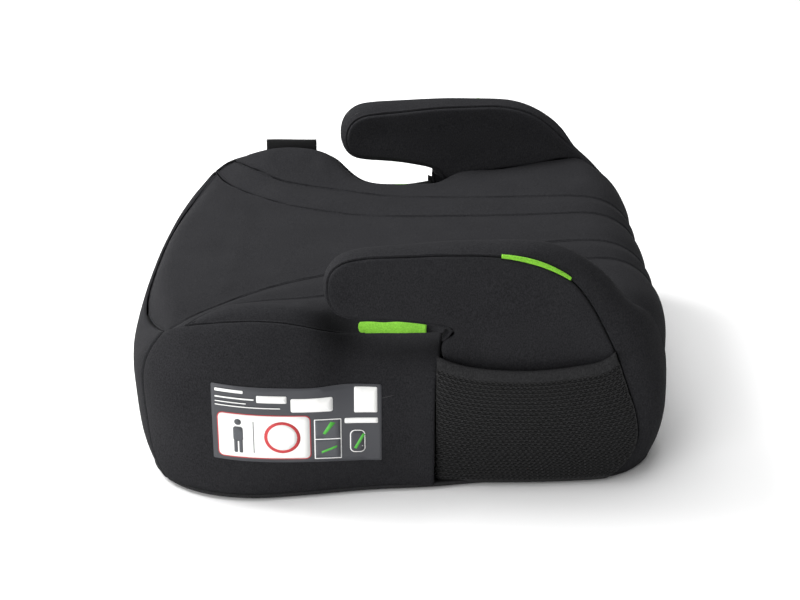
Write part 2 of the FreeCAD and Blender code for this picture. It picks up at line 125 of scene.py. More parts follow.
# Levels of the hip panel, from the rear seam to the upright seam at the pocket
HIP_LEVELS = [
    [(-175, 180, 120), (-166, 185, 125.5), EDGE_SEAM[0]] + EDGE_SEAM[2:11] + [(32, 162.7, 110.3)],
    [(-180.5, 179, 112), (-171.5, 187, 117), (-160, 194, 121.5), (-146, 199, 124.5), (-131, 203, 126.5),
     (-109, 206.5, 127.5), (-84, 206, 126), (-61, 201.5, 118.5), (-50, 194.5, 112.5), (-39, 187, 108.5),
     (-22, 183, 106.5), (0, 182.5, 106.5), (31, 184, 107)],
    [(-189, 177.5, 96), (-180.5, 190, 98.8), (-167, 201.5, 102), (-150, 209, 105.5), (-132, 213.5, 107.5),
     (-109, 216.5, 108.5), (-83, 215, 107), (-60, 211, 101), (-48, 205, 96.5), (-38, 201.5, 95),
     (-22, 199.5, 94.5), (0, 199, 94.5), (27.5, 198, 94.5)],
    [(-192, 176.5, 71), (-183, 193, 73), (-169.5, 206, 74.5), (-151, 214, 76), (-132, 218.5, 77),
     (-109, 221, 77.5), (-83, 219.5, 77), (-60, 216, 74.5), (-48, 213, 73), (-38, 210.5, 72),
     (-22, 208, 71), (0, 205.5, 70), (26, 203, 69)],
    [(-190, 178, 44), (-182, 193.5, 44.5), (-169, 206.5, 45), (-151, 215, 45), (-132, 219.5, 45),
     (-109, 222, 45), (-83, 220, 45), (-60, 216.5, 44), (-48, 214, 44), (-38, 211.5, 44),
     (-22, 208.5, 44), (0, 206, 44), (26, 203.5, 44)],
    level(21, [(-185, 188.5), (-176, 200), (-163.5, 209.5), (-147, 216.5), (-129, 221), (-108, 222.5),
              (-84, 220), (-60, 216), (-48, 213.5), (-38, 211.5), (-22, 209), (0, 207), (26, 204.5)]),
    level(3.5, [(-176, 194), (-166, 204), (-153, 212), (-139, 217.5), (-124, 220.5), (-107, 221.5),
              (-86, 219.3), (-64, 216), (-50, 213.5), (-38, 211.5), (-22, 209), (0, 207), (26, 204.5)]),
]
# Levels of the rear panel, from its left seam to the middle
REAR_LEVELS = [
    [(-175, 180, 120), (-180.5, 165, 113.8), (-190, 140, 106), (-198.3, 112, 100.6), (-206, 58, 95.5),
     (-207.5, 0, 94.5)],
    [(-180.5, 179, 112), (-189.5, 164, 107), (-198.5, 140, 100), (-205, 112, 94), (-210.5, 57, 88),
     (-211.5, 0, 87.5)],
    [(-189, 177.5, 96), (-199, 163, 92), (-206, 140, 87), (-210.5, 112, 82.5), (-213.5, 56, 79),
     (-214.5, 0, 78.5)],
    [(-192, 176.5, 71), (-201.5, 162, 68), (-207, 141, 65.5), (-211, 111, 64), (-213.5, 55, 63),
     (-214, 0, 63)],
    level(44, [(-190, 178), (-199.5, 164), (-205.5, 143), (-209.5, 110), (-211.5, 55), (-212, 0)]),
    level(21, [(-185, 188.5), (-195.5, 169.5), (-201, 147), (-205, 110), (-207, 55), (-207.5, 0)]),
    level(3.5, [(-176, 194), (-188, 174.5), (-193, 147), (-195.5, 110), (-196.5, 55), (-197, 0)]),
]

# Armrest from the slot's end round the horn: paired points of the outer and the inner seam, in (X, Z)
ARM_OUT = 193.0
ARM_IN = 167.5
HORN = [
    ((31, 117.5), (42, 116.5)), ((34, 121.3), (42, 118.8)), ((38.5, 123.6), (41.5, 121.2)),
    ((40, 126.8), (40, 124)), ((36, 130.4), (35, 127.5)), ((26, 133), (26, 130.8)), ((11, 135), (11, 134)),
    ((-16, 137), (-16, 137.5)), ((-36, 138.3), (-34, 139)), ((-46, 142), (-43.5, 141.8)),
    ((-51, 150), (-48.5, 149.5)), ((-52.5, 161), (-49.5, 160)), ((-50.5, 171.5), (-46, 169.5)),
    ((-43, 179.3), (-38, 176.5)), ((-32, 183), (-22, 180.3)), ((-7, 185), (-2, 182.2)),
    ((19, 186), (22, 185)), ((47, 186.6), (48, 187)), ((66, 186), (68, 187.6)),
]
# Front of the armrest: outer seam, three lanes of the gusset and the inner seam, in (X, Y, Z)
ARM_FRONT = [
    [(86, 193, 183.5), (86.5, 190.5, 187.3), (87, 183, 190.2), (87.5, 175, 190.4), (89, 167.5, 188)],
    [(102, 193, 179), (103.5, 190.5, 184.5), (106, 183, 188.3), (108, 175, 188.8), (110, 167.5, 185)],
    [(116, 193, 172.5), (119, 191, 178.3), (123, 184, 182.3), (126, 175, 182.3), (128.5, 167.5, 177.5)],
    [(126, 193, 165.5), (131, 191.3, 171), (137, 185, 173.8), (141.5, 175.5, 172.5), (144.5, 167.5, 165)],
    [(134, 193, 156), (139.5, 192, 160), (148, 186, 162.5), (154.5, 176, 160.3), (158.5, 167, 152)],
    [(141.5, 193, 144.5), (147.5, 192, 147), (156.5, 186, 149), (164.5, 175.5, 146), (170, 165, 138.3)],
    [(149, 193, 130.5), (158, 192, 133), (169, 185.5, 135), (178.5, 174, 133.5), (185, 161, 128.5)],
    [(158, 193, 112), (167, 191.5, 115), (178.5, 184.5, 117), (188.5, 172.5, 117), (195.5, 158.5, 114)],
    [(165, 193, 94), (175.5, 191, 95), (187, 183.5, 95.5), (196, 171, 94.5), (201.7, 157.5, 92.5)],
    [(173, 193, 71), (184, 190.5, 71), (194, 182.5, 71), (200.5, 170.5, 71), (203.7, 157.5, 70.5)],
    [(179, 193, 48.5), (187.5, 189.5, 48), (195, 181.5, 47.5), (200.8, 170, 47), (204, 158, 47)],
    [(176.5, 191.5, 26), (182.5, 188.5, 25), (189.7, 181, 24), (196, 170.5, 24), (200.3, 159, 24)],
    [(158, 190.5, 4), (167, 187, 4), (176.5, 180.5, 4), (186, 170.5, 4), (193, 159, 4)],
]
GUSSET_CROWN = 4.0  # how far the gusset stands beyond its seams round the horn

# Pocket: upper edge of the binding in (X, Z)
POCKET_TOP = [(27.5, 109), (37, 105), (55, 100.5), (77, 98.5), (103, 98.5), (131, 101.5), (149, 105.5),
              (158.5, 111)]
POCKET_FOOT = 3.8
POCKET_REAR = (27, 199.8)  # X and Y of its rear edge
POCKET_FRONT_Y = 196.4
MESH_PITCH = (4.4, 3.0)  # along the rows, and between rows
MESH_HOLE = (1.65, 1.2)  # half sizes of a hole
MESH_THICK = 0.8
SHADE_SHEET_GAP = 1.1  # from the spacer fabric's net back to the near-black sheet behind it, which is painted shade

HEM_HEIGHT = 3.6

LABEL_WIDE = 131  # of its layout
LABEL_TALL = 65
LABEL_AT = (-138, 36)  # X and Z of the layout's corner
LABEL_SCALE = (0.95, 0.925)
LABEL_TILT = 0.063
LABEL_LIFT = 0.5  # of the label's tape off the knit
INK_LIFT = 0.62
INK_STEP = 0.02  # each print above the one before
TAB_X = (-32, 20)
PIPING_X = (72, 124)
TAG_X = (-128, -80)


# ---------------------------------------------------------------- curves and lofts

def cubic(knots, values, t):
    """Natural cubic spline through values at knots, read at t."""
    knots = np.asarray(knots, float)
    values = np.asarray(values, float)
    n = len(knots)
    step = np.diff(knots)
    slope = np.diff(values, axis=0) / step[:, None]
    system = np.zeros((n, n))
    right = np.zeros_like(values)
    system[0, 0] = system[-1, -1] = 1
    for i in range(1, n - 1):
        system[i, i - 1:i + 2] = step[i - 1], 2 * (step[i - 1] + step[i]), step[i]
        right[i] = 6 * (slope[i] - slope[i - 1])
    bend = np.linalg.solve(system, right)
    t = np.asarray(t, float)
    k = np.clip(np.searchsorted(knots, t) - 1, 0, n - 2)
    h = step[k][:, None]
    a = (knots[k + 1] - t)[:, None] / h
    b = 1 - a
    curved = (a ** 3 - a) * bend[k] + (b ** 3 - b) * bend[k + 1]
    return a * values[k] + b * values[k + 1] + curved * h ** 2 / 6


def chord_knots(rows):
    """Mean chord length along rows of points (rows, points, 3)."""
    lengths = np.linalg.norm(np.diff(rows, axis=1), axis=2).mean(axis=0)
    return np.concatenate([[0], np.cumsum(np.maximum(lengths, 1e-3))])


def seam_steps(length, near_start, near_end, spacing=GRID):
    """Places along a length, closer together beside a seam at either end."""
    start = [e for e in EDGE_STEPS if near_start] or [0]
    end = [length - e for e in EDGE_STEPS if near_end] or [length]
    inner = np.linspace(start[-1], end[-1], max(2, int(round((end[-1] - start[-1]) / spacing)) + 1))
    return np.unique(np.round(np.concatenate([start, inner, end]), 6))


def loft(lanes, grooves, spacing=GRID):
    """Smooth grid (across, along, 3) over lanes of equal length. grooves says which of the first lane, last
    lane, first station and last station are seams."""
    lanes = np.asarray(lanes, float)
    along = chord_knots(lanes)
    u = seam_steps(along[-1], grooves[2], grooves[3], spacing)
    rows = np.stack([cubic(along, lane, u) for lane in lanes])
    across = chord_knots(rows.transpose(1, 0, 2))
    v = seam_steps(across[-1], grooves[0], grooves[1], spacing)
    return np.stack([cubic(across, rows[:, j], v) for j in range(len(u))], axis=1)


def run_along(points):
    """Length along a row of points, at each point."""
    steps = np.linalg.norm(np.diff(np.asarray(points, float), axis=0), axis=1)
    return np.concatenate([[0], np.cumsum(steps)])


def arc_resample(points, spacing):
    """Points along a smooth curve at about an even spacing."""
    knots = run_along(points)
    count = max(2, int(round(knots[-1] / spacing)) + 1)
    return cubic(knots, points, np.linspace(0, knots[-1], count))


def closed_curve(points, spacing=None, count=None):
    """Smooth closed curve through points, at an even spacing or as a number of points."""
    loop = np.array(points[-3:] + points + points[:3], float)
    knots = run_along(loop)
    start, end = knots[3], knots[3 + len(points)]
    if count is None:
        count = int((end - start) / spacing)
    return cubic(knots, loop, np.linspace(start, end, count, endpoint=False))


def mirrored(points, side):
    out = np.array(points, float)
    out[..., 1] *= SIDES[side]
    return out


def distance_to(points, curve):
    """Distance from each point to a densely sampled curve, and the nearest sample's index."""
    best = np.full(len(points), 1e9)
    index = np.zeros(len(points), int)
    for i in range(0, len(points), 2000):
        gap = np.linalg.norm(points[i:i + 2000, None] - curve[None], axis=2)
        index[i:i + 2000] = gap.argmin(axis=1)
        best[i:i + 2000] = gap.min(axis=1)
    return best, index


# ---------------------------------------------------------------- meshes

def mesh_piece(name, points, faces, material, smooth=True):
    mesh = bpy.data.meshes.new(name)
    mesh.from_pydata((np.asarray(points) * MM).tolist(), [], [list(map(int, f)) for f in faces])
    mesh.materials.append(material)
    mesh.polygons.foreach_set("use_smooth", [smooth] * len(mesh.polygons))
    mesh.update()
    piece = bpy.data.objects.new(name, mesh)
    bpy.context.scene.collection.objects.link(piece)
    return piece


def grid_faces(rows, columns, flip):
    faces = []
    for i in range(rows - 1):
        for j in range(columns - 1):
            a = i * columns + j
            quad = (a, a + 1, a + columns + 1, a + columns)
            faces.append(quad[::-1] if flip else quad)
    return faces


def set_points(piece, points):
    piece.data.vertices.foreach_set("co", (np.asarray(points) * MM).ravel())
    piece.data.update()


def read_vertices(mesh, key):
    out = np.empty(len(mesh.vertices) * 3)
    mesh.vertices.foreach_get(key, out)
    return out.reshape(-1, 3)


def get_points(piece):
    return read_vertices(piece.data, "co") / MM


def get_normals(piece):
    return read_vertices(piece.data, "normal")


def stuff(piece, seam_distance, pressure, cap):
    """Swells a panel as cloth under pressure from its padding, held along its seams."""
    rest = get_points(piece)
    held = piece.vertex_groups.new(name="seam")
    held.add(np.nonzero(seam_distance < PINNED)[0].tolist(), 1.0, "REPLACE")
    cloth = piece.modifiers.new("cloth", "CLOTH")
    settings = cloth.settings
    for key, value in CLOTH.items():
        setattr(settings, key, value)
    settings.uniform_pressure_force = pressure
    settings.effector_weights.gravity = 0
    cloth.collision_settings.use_collision = False
    scene = bpy.context.scene
    for number in range(1, SIM_FRAMES + 1):
        scene.frame_set(number)
    shown = piece.evaluated_get(bpy.context.evaluated_depsgraph_get())
    shift = read_vertices(shown.data, "co") / MM - rest
    length = np.linalg.norm(shift, axis=1, keepdims=True)
    shift *= np.tanh(length / cap) * cap / np.maximum(length, 1e-6)
    piece.modifiers.remove(cloth)
    piece.vertex_groups.remove(held)
    scene.frame_set(1)
    set_points(piece, rest + shift)


def roll_into_seams(piece, seam_distance, depth=1.0):
    """Turns the fabric down into the seam with a round shoulder, and swells it beside the seam."""
    points = get_points(piece)
    normals = get_normals(piece)
    near = np.clip(seam_distance, 0, ROLL)
    turn = ROLL - np.sqrt(ROLL ** 2 - (ROLL - near) ** 2)
    fall = CROWN * np.exp(-seam_distance / CROWN_REACH)
    swell = (ROLL + CROWN) * np.exp(-(seam_distance / PILLOW_REACH) ** 2)
    set_points(piece, points + normals * ((swell - turn - fall) * depth)[:, None])


def finish_soft(piece, thickness=THICK, levels=1):
    """Gives a panel its thickness inward and a smooth surface."""
    shell = piece.modifiers.new("thickness", "SOLIDIFY")
    shell.thickness = thickness * MM
    shell.offset = -1
    if levels:
        smooth = piece.modifiers.new("smooth", "SUBSURF")
        smooth.levels = smooth.render_levels = levels
        smooth.boundary_smooth = "PRESERVE_CORNERS"
    bpy.context.view_layer.update()
    shown = piece.evaluated_get(bpy.context.evaluated_depsgraph_get())
    mesh = bpy.data.meshes.new_from_object(shown)
    piece.modifiers.clear()
    piece.data = mesh


def declare(piece, nodes):
    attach(piece, "root")
    if nodes:
        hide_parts(*nodes)


def panel(name, lanes, grooves, side, nodes, flip=False, pressure=4.0, cap=4.0, depth=None):
    """A sewn panel lofted over its lanes, swollen between its seams and turned down into them."""
    grid = mirrored(loft(lanes, grooves), side)
    rows, columns, _ = grid.shape
    if SIDES[side] < 0:
        flip = not flip
    points = grid.reshape(-1, 3)
    piece = mesh_piece(name, points, grid_faces(rows, columns, flip), MATERIALS["knit"])
    borders = [grid[0], grid[-1], grid[:, 0], grid[:, -1]]
    curves = [arc_resample(b, 1.0) for b, on in zip(borders, grooves) if on]
    all_curves = [arc_resample(b, 1.5) for b in borders]
    edge = distance_to(points, np.concatenate(all_curves))[0]
    stuff(piece, edge, pressure, cap)
    seam, nearest = distance_to(points, np.concatenate(curves))
    weight = 1.0
    if depth:
        weight = depth(np.concatenate(curves)[nearest]) if callable(depth) else depth
    roll_into_seams(piece, seam, weight)
    finish_soft(piece)
    declare(piece, nodes)
    return piece


# ---------------------------------------------------------------- materials

def hex_colour(code):
    """Linear RGBA from an sRGB hex value."""
    channels = [int(code[i:i + 2], 16) / 255 for i in (1, 3, 5)]
    linear = [c / 12.92 if c <= 0.04045 else ((c + 0.055) / 1.055) ** 2.4 for c in channels]
    return (*linear, 1.0)


def add(tree, kind, links=None, **settings):
    """Adds a node, sets its properties and inputs, and links sockets into it."""
    node = tree.nodes.new("ShaderNode" + kind)
    for key, value in settings.items():
        if hasattr(node, key):
            setattr(node, key, value)
        else:
            node.inputs[key.replace("_", " ")].default_value = value
    for target, source in (links or {}).items():
        tree.links.new(source, node.inputs[target])
    return node


def new_material(name, roughness, **shader):
    """A material with one Principled shader; returns it with its node tree and shader."""
    material = bpy.data.materials.new(name)
    material.use_nodes = True
    tree = material.node_tree
    principled = tree.nodes["Principled BSDF"]
    principled.inputs["Roughness"].default_value = roughness
    for key, value in shader.items():
        principled.inputs[key.replace("_", " ")].default_value = value
    return material, tree, principled


def ramp(tree, source, stops):
    """Colour ramp over a value, from (place, hex) stops."""
    node = add(tree, "ValToRGB", {"Fac": source})
    elements = node.color_ramp.elements
    while len(elements) < len(stops):
        elements.new(0.5)
    for element, (place, code) in zip(elements, stops):
        element.position = place
        element.color = hex_colour(code)
    return node.outputs["Color"]


def place(tree, scale):
    """Object coordinates scaled to repeats per metre."""
    coordinates = add(tree, "TexCoord").outputs["Object"]
    return add(tree, "Mapping", {"Vector": coordinates}, Scale=scale).outputs["Vector"]


def noise(tree, scale, detail=2.0, **settings):
    """Noise with its repeats per metre along each axis."""
    node = add(tree, "TexNoise", {"Vector": place(tree, scale)}, Scale=1.0, Detail=detail, **settings)
    return node.outputs["Fac"]


def tint(tree, shader, source, stops):
    tree.links.new(ramp(tree, source, stops), shader.inputs["Base Color"])


def relief(tree, shader, height, strength, depth):
    """Bump from a height, its depth in metres."""
    bump = add(tree, "Bump", {"Height": height}, Strength=strength, Distance=depth)
    tree.links.new(bump.outputs["Normal"], shader.inputs["Normal"])


def combine(tree, operation, first, second, third=None):
    """Math node over sockets and numbers."""
    node = add(tree, "Math", operation=operation)
    for target, value in zip(node.inputs, (first, second, third)):
        if isinstance(value, float):
            target.default_value = value
        elif value is not None:
            tree.links.new(value, target)
    return node.outputs[0]


def knit_material(name, dark, light):
    """Heathered weft knit, brushed: mixed fibres give a soft salt-and-pepper grain over fine courses."""
    material, tree, shader = new_material(name, 0.95, Specular_IOR_Level=0.08)
    course = 1000 / 1.1  # knit courses per metre, drawn a little coarser than real so that they show
    fibres = noise(tree, (course * 1.3, course * 1.3, course * 0.8), 3.0, Roughness=0.65)
    clouds = noise(tree, (28, 28, 28))
    heather = combine(tree, "SUBTRACT", combine(tree, "MULTIPLY_ADD", clouds, 0.12, fibres), 0.06)
    tint(tree, shader, heather, [(0.32, dark), (0.68, light)])
    loops = add(tree, "TexVoronoi", {"Vector": place(tree, (course, course * 0.9, course))}, Scale=1.0)
    relief(tree, shader, combine(tree, "MULTIPLY_ADD", fibres, 0.8, loops.outputs["Distance"]), 0.55, 0.00035)
    return material


def mesh_material():
    """Warp-knitted polyester spacer mesh: smoother black yarn with a slight lustre on its ribs."""
    material, tree, shader = new_material("spacer_mesh_polyester", 0.7, Specular_IOR_Level=0.2)
    yarn = noise(tree, (1400, 1400, 700))
    tint(tree, shader, yarn, [(0.3, "#161616"), (0.7, "#262627")])
    relief(tree, shader, yarn, 0.5, 0.0003)
    return material


def ribbon_material(name, dark, light, rib_mm, roughness=0.75):
    """Woven grosgrain ribbon: fine ribs across its length, its colour changing a little between threads."""
    material, tree, shader = new_material(name, roughness, Specular_IOR_Level=0.25)
    ribs = add(tree, "TexWave", {"Vector": place(tree, (1000 / rib_mm / 6.3,) * 3)}, Scale=1.0 * math.pi,
               wave_type="BANDS", bands_direction="X").outputs["Fac"]
    fleck = noise(tree, (900, 900, 1800))
    tint(tree, shader, fleck, [(0.3, dark), (0.7, light)])
    relief(tree, shader, combine(tree, "ADD", ribs, fleck), 0.6, 0.0003)
    return material


def plain_print(name, code):
    """Printed ink on satin label tape: even colour with a faint weave under the ink. Also gives the
    near-black sheet of painted shade behind the pocket mesh.
    """
    material, tree, shader = new_material(name, 0.5, Specular_IOR_Level=0.4)
    shader.inputs["Base Color"].default_value = hex_colour(code)
    relief(tree, shader, noise(tree, (1500, 1500, 1500)), 0.25, 0.0001)
    return material


def grained_material(name, code_dark, code_light, grain_mm, roughness, depth_mm, **shader_values):
    """Moulded or cast surface with an even grain."""
    material, tree, shader = new_material(name, roughness, **shader_values)
    cells = add(tree, "TexVoronoi", {"Vector": place(tree, (1000 / grain_mm,) * 3)}, Scale=1.0)
    tint(tree, shader, noise(tree, (60, 60, 60), 3.0), [(0.3, code_dark), (0.7, code_light)])
    relief(tree, shader, cells.outputs["Distance"], 0.5, depth_mm * MM)
    return material


MATERIALS = {
    "knit": knit_material("heathered_charcoal_knit", "#18181a", "#2a2a2c"),
    "lining": knit_material("black_knit_binding", "#1d1d1e", "#303031"),
    "mesh": mesh_material(),
    # Near-black sheet behind the pocket mesh, seen through its holes: painted shade standing in for the
    # shadow inside the pocket
    "mesh_painted_shade": plain_print("painted_shade_behind_mesh", "#060607"),
    # Bright ribbon that catches the eye at the belt's path
    "green": ribbon_material("green_grosgrain_ribbon", "#67a827", "#86cb3a", 0.9),
    "tag": ribbon_material("dark_woven_tag", "#1a1a1b", "#272728", 0.5, 0.65),
    # Satin label tape: smooth dark ground with bright inks, a little shinier than the knit round it
    "label": plain_print("dark_label_print", "#3d3e42"),
    "label_white": plain_print("white_label_print", "#e9e9e7"),
    "label_red": plain_print("red_label_print", "#c03a3e"),
    "label_grey": plain_print("grey_label_print", "#4a4c50"),
    "label_green": plain_print("green_label_print", "#4fae3f"),
    "elastic": ribbon_material("black_knitted_elastic", "#141414", "#222222", 1.2),
    # Moulded polypropylene: spark-eroded tool grain, so dull highlights
    "shell": grained_material("moulded_polypropylene", "#161617", "#1e1e20", 0.7, 0.55, 0.04),
    # Soft rubber: darker and duller than the moulding, with a fine matt skin
    "rubber": grained_material("soft_black_rubber", "#121212", "#191919", 0.5, 0.8, 0.03),
    # Zinc plate: bluish grey metal with soft, slightly cloudy reflections
    "zinc": grained_material("zinc_plated_steel", "#9c9ea3", "#b8babd", 0.6, 0.32, 0.01, Metallic=1.0),
}


# ---------------------------------------------------------------- seat

def line_depth(seams):
    """The outer quilting line fades where it runs out over the hip wing."""
    return np.clip((seams[:, 0] + 138) / 34, 0.0, 1.0) ** 1.5


def seat_panels():
    centre = np.array(CENTRE, float)
    inner = np.array(INNER_LINE, float)
    outer = np.array(OUTER_LINE, float)
    near = centre * 2 / 3 + inner / 3
    near[:4] = REAR_NEAR
    far = centre / 3 + inner * 2 / 3
    far[:4] = REAR_FAR
    right = [lane * (1, -1, 1) for lane in (inner, far, near)]
    lanes = right + [centre, near, far, inner]
    panel("centre_panel", lanes, (1, 1, 1, 0), "left",
          ["cover_centre_panel", "seat_foam_pad"], flip=True, pressure=2.0, cap=2.0)
    middle = (inner + outer) / 2
    middle[0] = (-166, 184.8, 125.3)
    bolster = [OUTER_LINE, BOLSTER_INNER, BOLSTER_MIDDLE, BOLSTER_RIDGE, EDGE_SEAM]
    for side in SIDES:
        panel(f"channel_{side}", [inner, middle, outer], (1, 1, 1, 0), side,
              [f"cover_channel_{side}"], flip=True, pressure=2.5, cap=1.5, depth=channel_depth)
        parts = ("cover_bolster", "cover_hip_top", "cover_slot_floor", "hip_foam")
        replaced = [f"{part}_{side}" for part in parts]
        panel(f"bolster_{side}", bolster, (1, 1, 0, 0), side, replaced,
              flip=True, pressure=3.0, cap=2.5, depth=channel_depth)


def channel_depth(seams):
    on_outer = distance_to(np.abs(seams), OUTER_CURVE)[0] < 1.5
    return np.where(on_outer, line_depth(seams), 1.0)


OUTER_CURVE = arc_resample(OUTER_LINE, 1.0)


def hip_and_rear_panels():
    hips = {}
    for side in SIDES:
        hips[side] = panel(f"hip_panel_{side}", HIP_LEVELS, (1, 0, 1, 1), side,
                           [f"cover_hip_side_{side}"], flip=False, pressure=3.5, cap=3.0)
    full = [level + [(x, -y, z) for x, y, z in reversed(level[:-1])] for level in REAR_LEVELS]
    panel("rear_panel", full, (1, 0, 1, 1), "left", ["cover_rear_panel"],
          flip=True, pressure=3.0, cap=2.5)
    return hips


# ---------------------------------------------------------------- armrests

def horn_stations():
    """Gusset stations round the horn: five points each, from the outer to the inner seam."""
    outer = np.array([pair[0] for pair in HORN], float)
    inner = np.array([pair[1] for pair in HORN], float)
    along = np.gradient((outer + inner) / 2, axis=0)
    normal = np.stack([-along[:, 1], along[:, 0]], axis=1)
    normal /= np.linalg.norm(normal, axis=1, keepdims=True)
    stations = []
    for a, b, n in zip(outer, inner, normal):
        row = []
        for part, lift in ((0, 0), (0.12, 0.5), (0.42, 1.0), (0.74, 0.8), (1, 0)):
            x, z = a + (b - a) * part + n * GUSSET_CROWN * lift
            row.append((x, ARM_OUT + (ARM_IN - ARM_OUT) * part, z))
        stations.append(row)
    return stations


def arm_outline():
    """Closed (X, Z) outline of the outer panel."""
    horn = [pair[0] for pair in HORN]
    front = [(row[0][0], row[0][2]) for row in ARM_FRONT]
    return [(38, 84), (34, 98), (31, 108)] + horn + front + [(120, 4), (80, 4), (46, 4), (40, 30), (40, 60)]


def inner_outline():
    """Closed (X, Z) outline of the inner panel: horn, top seam, and down to the seat's edge."""
    horn = [pair[1] for pair in HORN[2:]]
    front = [(row[4][0], row[4][2]) for row in ARM_FRONT[:6]]
    edge = [(x, z) for x, _, z in reversed(EDGE_SEAM[13:18])]
    return horn + front + edge


def inside(points, outline):
    """Which (X, Z) points lie inside a closed outline."""
    x, z = points[:, 0], points[:, 1]
    result = np.zeros(len(points), bool)
    a = outline
    b = np.roll(outline, -1, axis=0)
    for (ax, az), (bx, bz) in zip(a, b):
        crosses = (az > z) != (bz > z)
        with np.errstate(divide="ignore", invalid="ignore"):
            at = (bx - ax) * (z - az) / (bz - az) + ax
        result ^= crosses & (x < at)
    return result


def filled_outline(outline, spacing=4.0):
    """Triangulated region: rings beside its seam and a triangular grid inside. Returns points, faces."""
    area = np.sum(outline[:, 0] * np.roll(outline[:, 1], -1) - np.roll(outline[:, 0], -1) * outline[:, 1])
    tangent = np.roll(outline, -1, axis=0) - np.roll(outline, 1, axis=0)
    tangent /= np.linalg.norm(tangent, axis=1, keepdims=True)
    inward = np.stack([-tangent[:, 1], tangent[:, 0]], axis=1) * np.sign(area)
    rings = [outline]
    for step in EDGE_STEPS[1:]:
        ring = outline + inward * step
        keep = distance_to(ring, outline)[0] > step * 0.93
        rings.append(ring[keep & inside(ring, outline)])
    low, high = outline.min(axis=0), outline.max(axis=0)
    grid = []
    rise = spacing * math.sqrt(3) / 2
    across = int((high[0] - low[0]) / spacing) + 1
    for i in range(int((high[1] - low[1]) / rise) + 1):
        z = low[1] + i * rise
        grid += [(low[0] + (i % 2) * spacing / 2 + j * spacing, z) for j in range(across)]
    grid = np.array(grid)
    grid = grid[inside(grid, outline)]
    grid = grid[distance_to(grid, outline)[0] > EDGE_STEPS[-1] + spacing * 0.55]
    points = np.concatenate(rings + [grid])
    count = len(outline)
    edges = [(i, (i + 1) % count) for i in range(count)]
    vertices, _, faces, _, _, _ = delaunay_2d_cdt([Vector(p) for p in points], edges, [], 1, 1e-5)
    return np.array([tuple(v) for v in vertices]), faces


def flat_panel(name, outline, y, side, nodes, outward, cap):
    """Sewn plate in an upright plane, swollen between its seams."""
    curve = closed_curve(outline, 2.5)
    flat, faces = filled_outline(curve)
    points = mirrored(np.stack([flat[:, 0], np.full(len(flat), y), flat[:, 1]], axis=1), side)
    direction = np.array([0, outward * SIDES[side], 0])
    piece = mesh_piece(name, points, faces, MATERIALS["knit"])
    if np.mean(get_normals(piece) @ direction) < 0:
        piece.data.flip_normals()
    seam, _ = distance_to(flat, arc_closed(curve))
    stuff(piece, seam, 5.0, cap)
    roll_into_seams(piece, seam)
    finish_soft(piece)
    declare(piece, nodes)
    return piece


def arc_closed(curve):
    """Four samples between neighbouring points of a closed curve."""
    following = np.roll(curve, -1, axis=0)
    return np.concatenate([curve + (following - curve) * k / 4 for k in range(4)])


def armrests():
    stations = horn_stations() + ARM_FRONT
    lanes = np.array(stations, float).transpose(1, 0, 2)
    for side in SIDES:
        panel(f"gusset_{side}", lanes, (1, 1, 0, 0), side,
              [f"armrest_gusset_{side}", f"armrest_foam_{side}"],
              flip=False, pressure=2.0, cap=0.6, depth=0.45)
        flat_panel(f"arm_outer_{side}", arm_outline(), ARM_OUT, side,
                   [f"armrest_outer_panel_{side}"], 1, 4.0)
        flat_panel(f"arm_inner_{side}", inner_outline(), ARM_IN, side,
                   [f"armrest_inner_panel_{side}"], -1, 4.0)


# ---------------------------------------------------------------- pocket

def pocket_surface():
    """Dense grid of the pocket's face, from its upper edge to the floor, left seam to front seam."""
    front = arc_resample([(row[0][0], row[0][2]) for row in ARM_FRONT[6:]], 2.0)
    top = np.array(POCKET_TOP, float)
    columns = []
    for s in np.linspace(0, 1, 25):
        x_top = top[0, 0] + (top[-1, 0] - top[0, 0]) * s
        knots = top[:, 0]
        z_top = cubic(knots, top[:, 1:2], [x_top])[0, 0]
        column = []
        for t in np.linspace(0, 1, 17):
            z = z_top + (POCKET_FOOT - z_top) * t
            x_front = front[np.abs(front[:, 1] - z).argmin(), 0]
            x = POCKET_REAR[0] + (x_front - POCKET_REAR[0]) * s
            edge = POCKET_REAR[1] + 4.5 * math.sin(math.pi * min(1, t * 1.15)) * (1 - 0.35 * t)
            swell = math.sin(math.pi * s) ** 0.6 * (6 + 3.5 * math.sin(math.pi * t))
            y = edge * (1 - s) + POCKET_FRONT_Y * s + swell * 0.75
            column.append((x, y, z))
        columns.append(column)
    return np.array(columns).transpose(1, 0, 2)


def on_grid(grid, s, t):
    """Point of a grid (down, along, 3) at fractions s along and t down, read bilinearly."""
    rows, columns, _ = grid.shape
    i = np.clip(t, 0, 1) * (rows - 1)
    j = np.clip(s, 0, 1) * (columns - 1)
    i0 = np.minimum(i.astype(int), rows - 2)
    j0 = np.minimum(j.astype(int), columns - 2)
    a = (i - i0)[:, None]
    b = (j - j0)[:, None]
    upper = grid[i0, j0] * (1 - b) + grid[i0, j0 + 1] * b
    lower = grid[i0 + 1, j0] * (1 - b) + grid[i0 + 1, j0 + 1] * b
    return upper * (1 - a) + lower * a


